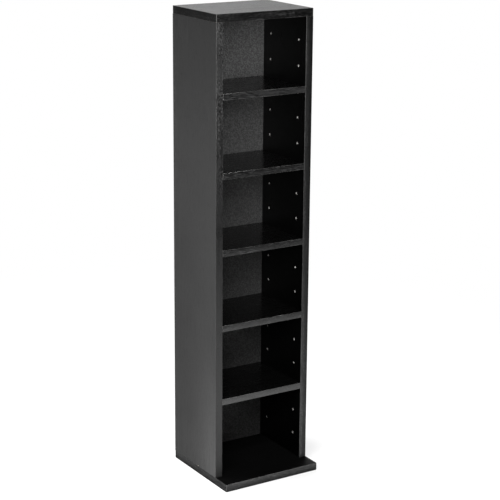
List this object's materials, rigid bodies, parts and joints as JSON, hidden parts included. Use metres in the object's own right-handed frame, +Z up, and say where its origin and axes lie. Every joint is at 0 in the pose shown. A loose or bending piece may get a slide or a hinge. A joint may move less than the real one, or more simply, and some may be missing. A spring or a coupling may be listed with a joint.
{
  "type": "disc storage tower",
  "caption": "Tall, narrow, open-fronted storage tower for disc cases, in black foil-faced board, with adjustable shelves on pins, a set-in back and a base that reaches forward.",
  "frame": {"origin": "on the floor, under the middle of the overall box", "axes": "+X to the right for a person facing the open front, +Y from the open front to the back, +Z up"},
  "size_m": [0.21, 0.2, 0.91],
  "materials": {
    "board_foil": "satin black wood-grain foil on chipboard",
    "shelf_foil": "satin black wood-grain foil on chipboard, edge banded",
    "back_board": "matt black, fine pebbled grain, on thin hardboard",
    "pin_nickel": "nickel plated",
    "screw_zinc": "zinc plated",
    "dowel_beech": "bare fluted beech",
    "cap_plastic": "moulded, satin black"
  },
  "bodies": {
    "carcass": {"left_side_panel": "board_foil", "right_side_panel": "board_foil", "top_panel": "board_foil", "base_panel": "board_foil", "back_panel": "back_board", "shelf_pin_1_left_front": "pin_nickel", "shelf_pin_1_left_rear": "pin_nickel", "shelf_pin_1_right_front": "pin_nickel", "shelf_pin_1_right_rear": "pin_nickel", "shelf_pin_2_left_front": "pin_nickel", "shelf_pin_2_left_rear": "pin_nickel", "shelf_pin_2_right_front": "pin_nickel", "shelf_pin_2_right_rear": "pin_nickel", "shelf_pin_3_left_front": "pin_nickel", "shelf_pin_3_left_rear": "pin_nickel", "shelf_pin_3_right_front": "pin_nickel", "shelf_pin_3_right_rear": "pin_nickel", "shelf_pin_4_left_front": "pin_nickel", "shelf_pin_4_left_rear": "pin_nickel", "shelf_pin_4_right_front": "pin_nickel", "shelf_pin_4_right_rear": "pin_nickel", "shelf_pin_5_left_front": "pin_nickel", "shelf_pin_5_left_rear": "pin_nickel", "shelf_pin_5_right_front": "pin_nickel", "shelf_pin_5_right_rear": "pin_nickel", "top_screw_left_front": "screw_zinc", "top_screw_left_rear": "screw_zinc", "top_screw_right_front": "screw_zinc", "top_screw_right_rear": "screw_zinc", "base_screw_left_front": "screw_zinc", "base_screw_left_rear": "screw_zinc", "base_screw_right_front": "screw_zinc", "base_screw_right_rear": "screw_zinc", "top_dowel_left_front": "dowel_beech", "top_dowel_left_rear": "dowel_beech", "top_dowel_right_front": "dowel_beech", "top_dowel_right_rear": "dowel_beech", "base_dowel_left_front": "dowel_beech", "base_dowel_left_rear": "dowel_beech", "base_dowel_right_front": "dowel_beech", "base_dowel_right_rear": "dowel_beech", "screw_cap_left_front": "cap_plastic", "screw_cap_left_rear": "cap_plastic", "screw_cap_right_front": "cap_plastic", "screw_cap_right_rear": "cap_plastic"},
    "shelf_1": {"shelf_1": "shelf_foil"},
    "shelf_2": {"shelf_2": "shelf_foil"},
    "shelf_3": {"shelf_3": "shelf_foil"},
    "shelf_4": {"shelf_4": "shelf_foil"},
    "shelf_5": {"shelf_5": "shelf_foil"}
  },
  "joints": [
    {"name": "shelf_1_slide", "type": "slide", "parent": "carcass", "child": "shelf_1", "axis": [0, -1, 0], "range_m": [0, 0.15]},
    {"name": "shelf_2_slide", "type": "slide", "parent": "carcass", "child": "shelf_2", "axis": [0, -1, 0], "range_m": [0, 0.15]},
    {"name": "shelf_3_slide", "type": "slide", "parent": "carcass", "child": "shelf_3", "axis": [0, -1, 0], "range_m": [0, 0.15]},
    {"name": "shelf_4_slide", "type": "slide", "parent": "carcass", "child": "shelf_4", "axis": [0, -1, 0], "range_m": [0, 0.15]},
    {"name": "shelf_5_slide", "type": "slide", "parent": "carcass", "child": "shelf_5", "axis": [0, -1, 0], "range_m": [0, 0.15]}
  ]
}
